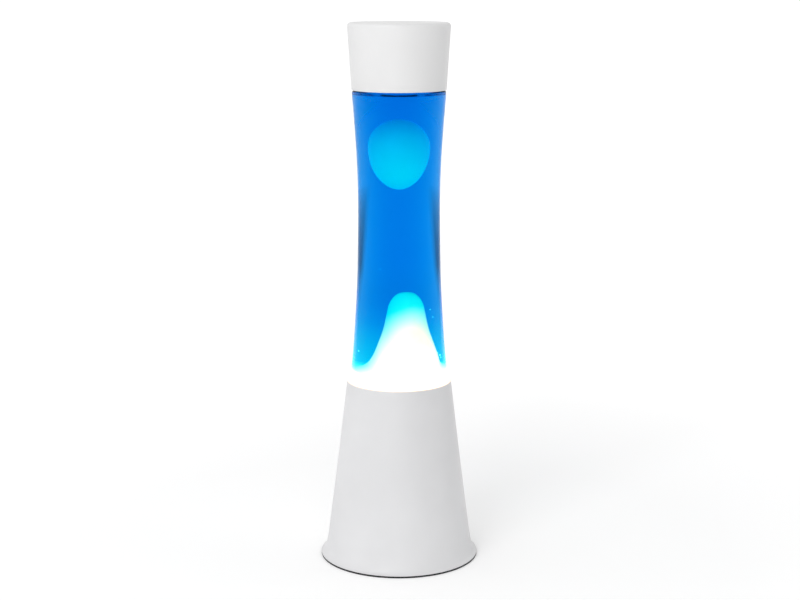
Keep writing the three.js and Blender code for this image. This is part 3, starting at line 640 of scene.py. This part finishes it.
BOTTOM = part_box("glass_bottle")[0].z / MM
NECK_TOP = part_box("glass_bottle")[1].z / MM
WALL = 2.4
NECK_WALL = 2.6
POOL_SURFACE = 140.0
LIQUID_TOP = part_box("liquid")[1].z / MM
NECK_RADIUS = 13
SHOULDER = (33.85, 346.85)
SHOULDER_ROUND = 3.25
SHOULDER_SHARPENED = 1.8


def bottle_side(sharpened=0.0):
    """The bottle's outside from heel to shoulder; sharpened is taken off the shoulder's rounding."""
    heel = arc(28.9, 121, 8, -90, 0, 14)
    stations = [
        (36.9, 121),
        (36.8, 129),
        (36.2, 136),
        (34.2, 153),
        (32.0, 184),
        (30.5, 216),
        (29.8, 264),
        (30.5, 294),
        (32.2, 322),
        (33.85, 343.6),
    ]
    radius = SHOULDER_ROUND - sharpened
    shoulder = arc(SHOULDER[0] - radius, SHOULDER[1] - radius, radius, 0, 84, 10)
    return [*heel, *spline(stations, 6)[1:], *shoulder[1 if sharpened == 0 else 0 :]]


def bottle_neck():
    start = (SHOULDER[0] - SHOULDER_ROUND, SHOULDER[1])
    return bezier(start, (20, SHOULDER[1] + 1), (NECK_RADIUS, 350), (NECK_RADIUS, 362), 18)


def bottle_inside(side_gap, neck_gap, sharpened=0.0):
    """The bottle's outside moved inward, by its own gap on the side and on the neck."""
    return [*offset(bottle_side(sharpened), side_gap), *offset(bottle_neck(), neck_gap)]


def bottle_outline():
    hollow = bezier((10, BOTTOM + 2), (18, BOTTOM + 1.8), (22, BOTTOM + 0.4), (25.5, BOTTOM), 8)
    bead = [
        (NECK_RADIUS, 376.6),
        *arc(12.7, 378, 1.0, -50, 0, 4),
        *arc(12.7, NECK_TOP - 1, 1.0, 0, 90, 5),
        *arc(11.2, NECK_TOP - 0.8, 0.8, 90, 180, 5),
    ]
    inside = list(reversed(bottle_inside(WALL, NECK_WALL)))
    outside = [(0, BOTTOM + 2), *hollow, *bottle_side(SHOULDER_SHARPENED), *bottle_neck()[1:]]
    return [*outside, *bead, *inside, (0, inside[-1][1])]


bottle = turned("bottle_glass", bottle_outline(), crease=GLASS_CREASE)
place(bottle, "bottle", GLASS, ["glass_bottle"])

# The liquid reaches into the wall: light passes from glass to liquid with no film of air, and the
# round wall magnifies the colour right out to the bottle's edge.
SKIN = 0.4
wetted = [p for p in bottle_inside(SKIN, SKIN, SHOULDER_SHARPENED) if p[1] < LIQUID_TOP]
liquid_outline = [(0, wetted[0][1]), *wetted, (wetted[-1][0], LIQUID_TOP), (0, LIQUID_TOP)]
liquid = turned("tinted_liquid", liquid_outline, crease=GLASS_CREASE)
place(liquid, "bottle", LIQUID, ["liquid"])

# ---------------------------------------------------------------- wax

MOUND_LEAN = (4.1, -6.0)
MOUND_TOP = 201.6
WAX_GAP = 0.3
COIL = {"ring": 28.6, "turn": 2.2, "wire": 0.5, "z": 120.4}


def lean(r, angle, z):
    """Full lean near the axis, none at the glass, with a few soft lumps round the foot of the mound."""
    share = min(1.0, max(0.0, (31 - r) / 13))
    share *= min(1.0, max(0.0, (z - 130) / 8))
    x, y = r * math.cos(angle), r * math.sin(angle)
    foot = max(0.0, 1 - abs(z - 150) / 14) * min(1.0, r / 10)
    lump = 0.9 * foot * noise.noise(Vector((x * 0.16, y * 0.16, z * 0.13)))
    swell = 1 + lump / max(r, 1)
    return (x * swell + MOUND_LEAN[0] * share, y * swell + MOUND_LEAN[1] * share, z)


def wax_outline():
    wall = bottle_inside(WALL + WAX_GAP, NECK_WALL + WAX_GAP)
    floor = wall[0][1]
    notch_radius = COIL["ring"] - COIL["turn"] - 1
    notch_top = COIL["z"] + COIL["turn"] + 1
    side = below(above(wall, notch_top), POOL_SURFACE + 0.4)
    mound = spline(
        [
            (26.5, 140.6),
            (22.0, 145.0),
            (19.2, 152.5),
            (16.2, 163.0),
            (13.3, 173.5),
            (11.1, 186.0),
            (10.1, 191.5),
            (8.0, 196.6),
            (4.6, 200.3),
            (0, MOUND_TOP),
        ],
        6,
    )
    surface = [(side[-1][0] - 0.8, 140.1), (side[-1][0] - 3, 140.0)]
    top = [p for p in mound[:-1] if p[0] > 0.4]
    notch = [(notch_radius, floor), (notch_radius, notch_top)]
    return [(0, floor), *notch, *side, *surface, *top, (0, MOUND_TOP)]


place(turned("wax_mound", wax_outline(), shape=lean), "bottle", MOUND_WAX, ["wax_pool"])


def coil_points():
    """The coil's wire, wound along a ring that stays open at the joint."""
    turns, steps = 20, 18
    joint = math.radians(8)
    count = turns * steps
    points = []
    for i in range(count + 1):
        around = joint / 2 + (2 * math.pi - joint) * i / count
        turn = 2 * math.pi * i / steps
        r = COIL["ring"] + COIL["turn"] * math.cos(turn)
        z = COIL["z"] + COIL["turn"] * math.sin(turn)
        points.append((r * math.cos(around), r * math.sin(around), z))
    return points


place(wire("coil_wire", coil_points(), COIL["wire"]), "bottle", ZINC, ["heating_coil"])


def beads(name, centres):
    """Small beads of wax, as one mesh: (x, y, z, radius) of each, in millimetres."""
    vertices, faces = [], []
    for cx, cy, cz, radius in centres:
        start = len(vertices)
        rows, columns = 8, 12
        for i in range(1, rows):
            polar = math.pi * i / rows
            for k in range(columns):
                a = 2 * math.pi * k / columns
                r, z = radius * math.sin(polar), cz + radius * math.cos(polar)
                vertices.append(Vector((cx + r * math.cos(a), cy + r * math.sin(a), z)) * MM)
        top, bottom = len(vertices), len(vertices) + 1
        vertices.append(Vector((cx, cy, cz + radius)) * MM)
        vertices.append(Vector((cx, cy, cz - radius)) * MM)
        for k in range(columns):
            m = (k + 1) % columns
            faces.append((top, start + m, start + k))
            low = start + (rows - 2) * columns
            faces.append((bottom, low + k, low + m))
            for i in range(rows - 2):
                row = start + i * columns
                faces.append((row + k, row + m, row + columns + m, row + columns + k))
    return finish_mesh(name, vertices, faces, GLASS_CREASE)


BEADS = [
    (22.6, -2.0, 154.5, 0.45),
    (24.3, -1.0, 152.5, 0.50),
    (23.4, 3.0, 149.8, 0.40),
    (20.4, -4.0, 157.5, 0.35),
    (17.4, 0.0, 187.0, 0.30),
    (18.6, 2.0, 181.0, 0.28),
    (18.8, -3.0, 167.0, 0.30),
    (-23.6, 0.0, 155.4, 0.40),
    (-9.0, 12.0, 216.0, 0.28),
    (6.0, 15.0, 240.0, 0.25),
]
place(beads("wax_beads", BEADS), "bottle", BEAD_WAX)

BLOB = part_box("wax_blob")
BLOB_LIFT = 1.4
BLOB_LOW, BLOB_HIGH = BLOB[0].z / MM + BLOB_LIFT, BLOB[1].z / MM + BLOB_LIFT
BLOB_RADIUS = BLOB[1].x / MM - 0.4
BLOB_MIDDLE = 306.8
BLOB_POINT = 1.04
BLOB_WANDER = 0.25


def blob_outline():
    """An egg, a little more pointed below its widest height than above it."""
    steps = 24
    points = []
    for i in range(steps + 1):
        a = math.pi / 2 * (1 - i / steps)
        r = BLOB_RADIUS * math.cos(a) ** BLOB_POINT
        points.append((0 if i == 0 else r, BLOB_MIDDLE - (BLOB_MIDDLE - BLOB_LOW) * math.sin(a)))
    for i in range(1, steps + 1):
        a = math.pi / 2 * i / steps
        r = BLOB_RADIUS * math.cos(a)
        points.append((0 if i == steps else r, BLOB_MIDDLE + (BLOB_HIGH - BLOB_MIDDLE) * math.sin(a)))
    return points


def blob_shape(r, angle, z):
    x, y = r * math.cos(angle), r * math.sin(angle)
    wander = BLOB_WANDER * noise.noise(Vector((x * 0.05, y * 0.05, z * 0.05)))
    return (x * (1 + wander / BLOB_RADIUS), y * (1 + wander / BLOB_RADIUS), z)


floating = turned("floating_wax", blob_outline(), shape=blob_shape)
place(floating, "blob", BLOB_WAX, ["wax_blob"])

# ---------------------------------------------------------------- crown closure and cap

CROWN_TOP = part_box("crown_closure")[1].z / MM
FLUTES = 21


def flute(r, angle, z):
    """The skirt of a crown closure is crimped into flutes that deepen towards its edge."""
    depth = max(0.0, min(1.0, (NECK_TOP - z) / 4.0))
    wave = 0.32 * depth * math.cos(FLUTES * angle) if r > 12 else 0
    return ((r + wave) * math.cos(angle), (r + wave) * math.sin(angle), z)


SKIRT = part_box("crown_closure")[0].z / MM
CROWN_IN = 14.1
crown_outline = [
    (0, CROWN_TOP - 0.4),
    (CROWN_IN - 0.5, CROWN_TOP - 0.4),
    (CROWN_IN, CROWN_TOP - 1.0),
    (CROWN_IN + 0.1, NECK_TOP - 1),
    (CROWN_IN + 0.35, NECK_TOP - 2.6),
    (CROWN_IN + 0.6, SKIRT),
    (CROWN_IN + 0.95, SKIRT),
    (CROWN_IN + 0.7, NECK_TOP - 2.6),
    (CROWN_IN + 0.45, NECK_TOP - 1),
    *arc(CROWN_IN - 0.6, CROWN_TOP - 1.0, 1.0, 0, 90, 6),
    (0, CROWN_TOP),
]
crown = turned("crown_metal", crown_outline, 12 * FLUTES, shape=flute)
place(crown, "bottle", ALUMINIUM, ["crown_closure"])

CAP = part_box("lamp_cap")
CAP_TOP, CAP_BOTTOM = CAP[1].z / MM, CAP[0].z / MM
CAP_RADIUS = 37.05
CAP_FOOT_RADIUS = 34.2
CAP_CORNER = 2.8
CAP_WALL = 1.2


def cap_outline():
    centre = (CAP_RADIUS - CAP_CORNER, CAP_TOP - CAP_CORNER)
    outer = arc(*centre, CAP_CORNER, 0, 90, 16)
    inner = arc(*centre, CAP_CORNER - CAP_WALL, 90, 0, 10)
    edge = arc(CAP_FOOT_RADIUS - 0.5, CAP_BOTTOM + 0.5, 0.5, -150, -10, 8)
    flare, low = CAP_RADIUS - CAP_FOOT_RADIUS, CAP_BOTTOM + 0.5
    wall = [(CAP_FOOT_RADIUS + flare * t, low + (centre[1] - low) * t) for t in (0.25, 0.5, 0.75)]
    inner_foot = (CAP_FOOT_RADIUS - CAP_WALL, CAP_BOTTOM + 0.6)
    return [(0, CAP_TOP - CAP_WALL), *inner, inner_foot, *edge, *wall, *outer, (0, CAP_TOP)]


place(turned("cap_paint", cap_outline()), "cap", CAP_PAINT, ["lamp_cap"])

# ---------------------------------------------------------------- floor, world and lights

FLOOR_HALF = 20.0
FLAT = 30

# Where the floor's painted shade begins and fades again: distance to the side over distance ahead of the
# camera, and distance from the lamp in metres
CAMERA_AWAY = 1.2
SIDE_SLANTS = (0.275, 0.39)
SIDE_NEAR = (0.55, 1.05)
SIDE_FAR = (2.8, 1.1)

# The soft painted shade round the foot, and the painted light (emission) that brightens the paper further
# out
PAINTED_SHADE_REACH = (0.25, 0.60)
PAINTED_SHADE_DEPTH = 0.06
PAINTED_LIGHT_REACH = (0.25, 1.2)
PAPER_WHITE_AND_PAINTED_SHADE = [(0.0, (0.95, 0.95, 0.95)), (1.0, (0.29, 0.29, 0.29))]
PAPER_PAINTED_LIGHT = [(0.0, (0.10, 0.10, 0.10)), (1.0, (0.28, 0.28, 0.28))]
PAPER_GRAIN = 0.01


def studio_floor():
    """White paper with painted shade some way from the lamp, which the glass shows as its darker edges.

    The painted shade lies to both sides of and in front of the lamp, and the paper stays white behind it.
    """
    corners = [(-1, -1), (1, -1), (1, 1), (-1, 1)]
    vertices = [(x * FLOOR_HALF, y * FLOOR_HALF, 0.0) for x, y in corners]
    floor = finish_mesh("floor", vertices, [(0, 1, 2, 3)], FLAT)
    look = Look("floor_paper")
    x, y, _ = look.split()
    # Painted shade: the paper is darkened to the sides of and in front of the lamp, at a middle distance.
    ahead = look.math("MAXIMUM", look.math("ADD", y, CAMERA_AWAY), 0.01)
    beside = look.map_range(look.math("DIVIDE", look.math("ABSOLUTE", x, 0.0), ahead), *SIDE_SLANTS)
    squares = look.math("ADD", look.math("MULTIPLY", x, x), look.math("MULTIPLY", y, y))
    distance = look.math("SQRT", squares, 0.0)
    away = look.math("MULTIPLY", look.map_range(distance, *SIDE_NEAR), look.map_range(distance, *SIDE_FAR))
    dark = look.math("MULTIPLY", beside, away)
    grain = look.map_range(look.noise(3.0, 2.0), 0.0, 1.0, -PAPER_GRAIN, PAPER_GRAIN)
    # Painted shade: the paper is a little darker close round the foot.
    shade = look.map_range(distance, *PAINTED_SHADE_REACH, PAINTED_SHADE_DEPTH, 0.0)
    level = look.math("ADD", look.math("ADD", dark, shade), grain)
    look.drive("Base Color", look.ramp(level, PAPER_WHITE_AND_PAINTED_SHADE))
    # Painted light: emission brightens the paper further from the lamp, except where it is painted dark.
    far = look.map_range(distance, *PAINTED_LIGHT_REACH)
    lift = look.math("MULTIPLY", far, look.math("SUBTRACT", 1.0, dark))
    look.drive("Emission Color", look.ramp(lift, PAPER_PAINTED_LIGHT))
    look.set(Roughness=0.9, Specular_IOR_Level=0.0, Emission_Strength=1.0)
    floor.data.materials.append(look.material)


WORLD_LEVEL = 1.06
FRONT_RIGHT_DIM = 0.55
OVERHEAD_DIM = 0.30


def studio_world():
    """White all round, dimmer overhead, and at the front right so that the lamp's right side is shaded."""
    world = bpy.data.worlds.new("studio")
    scene.world = world
    world.use_nodes = True
    tree = world.node_tree
    coords = tree.nodes.new("ShaderNodeTexCoord")
    split = tree.nodes.new("ShaderNodeSeparateXYZ")
    tree.links.new(coords.outputs["Generated"], split.inputs["Vector"])

    def ranged(source, low, high, to_low, to_high):
        made = tree.nodes.new("ShaderNodeMapRange")
        made.interpolation_type = "SMOOTHSTEP"
        for key, value in (("From Min", low), ("From Max", high), ("To Min", to_low), ("To Max", to_high)):
            made.inputs[key].default_value = value
        tree.links.new(source, made.inputs["Value"])
        return made.outputs["Result"]

    def combined(operation, a, b):
        made = tree.nodes.new("ShaderNodeMath")
        made.operation = operation
        for socket, value in zip(made.inputs, (a, b)):
            if isinstance(value, float):
                socket.default_value = value
            else:
                tree.links.new(value, socket)
        return made.outputs["Value"]

    side, forward, up = (split.outputs[axis] for axis in "XYZ")
    front = ranged(forward, 0.05, -0.5, 0.0, 1.0)
    right = ranged(side, -0.3, 0.8, 0.0, FRONT_RIGHT_DIM)
    front_right = combined("MULTIPLY", front, right)
    overhead = ranged(up, 0.45, 0.95, 0.0, OVERHEAD_DIM)
    strength = combined("SUBTRACT", WORLD_LEVEL, combined("ADD", front_right, overhead))
    tree.links.new(strength, tree.nodes["Background"].inputs["Strength"])
    tree.nodes["Background"].inputs["Color"].default_value = (1.0, 1.0, 1.0, 1.0)


def area_light(name, place_at, aim, size, power):
    """A soft rectangular light at a place, turned towards its aim."""
    data = bpy.data.lights.new(name, "AREA")
    data.shape = "RECTANGLE"
    data.size, data.size_y = size
    data.energy = power
    light = bpy.data.objects.new(name, data)
    light.location = place_at
    light.rotation_euler = (Vector(aim) - Vector(place_at)).to_track_quat("-Z", "Y").to_euler()
    scene.collection.objects.link(light)


studio_floor()
studio_world()
LIGHT_AIM = (0, 0, 0.2)
area_light("key", (-0.8, -1.5, 1.4), LIGHT_AIM, (0.9, 0.9), 10.0)
area_light("fill", (-0.2, -2.2, 0.7), LIGHT_AIM, (1.4, 0.8), 6.0)
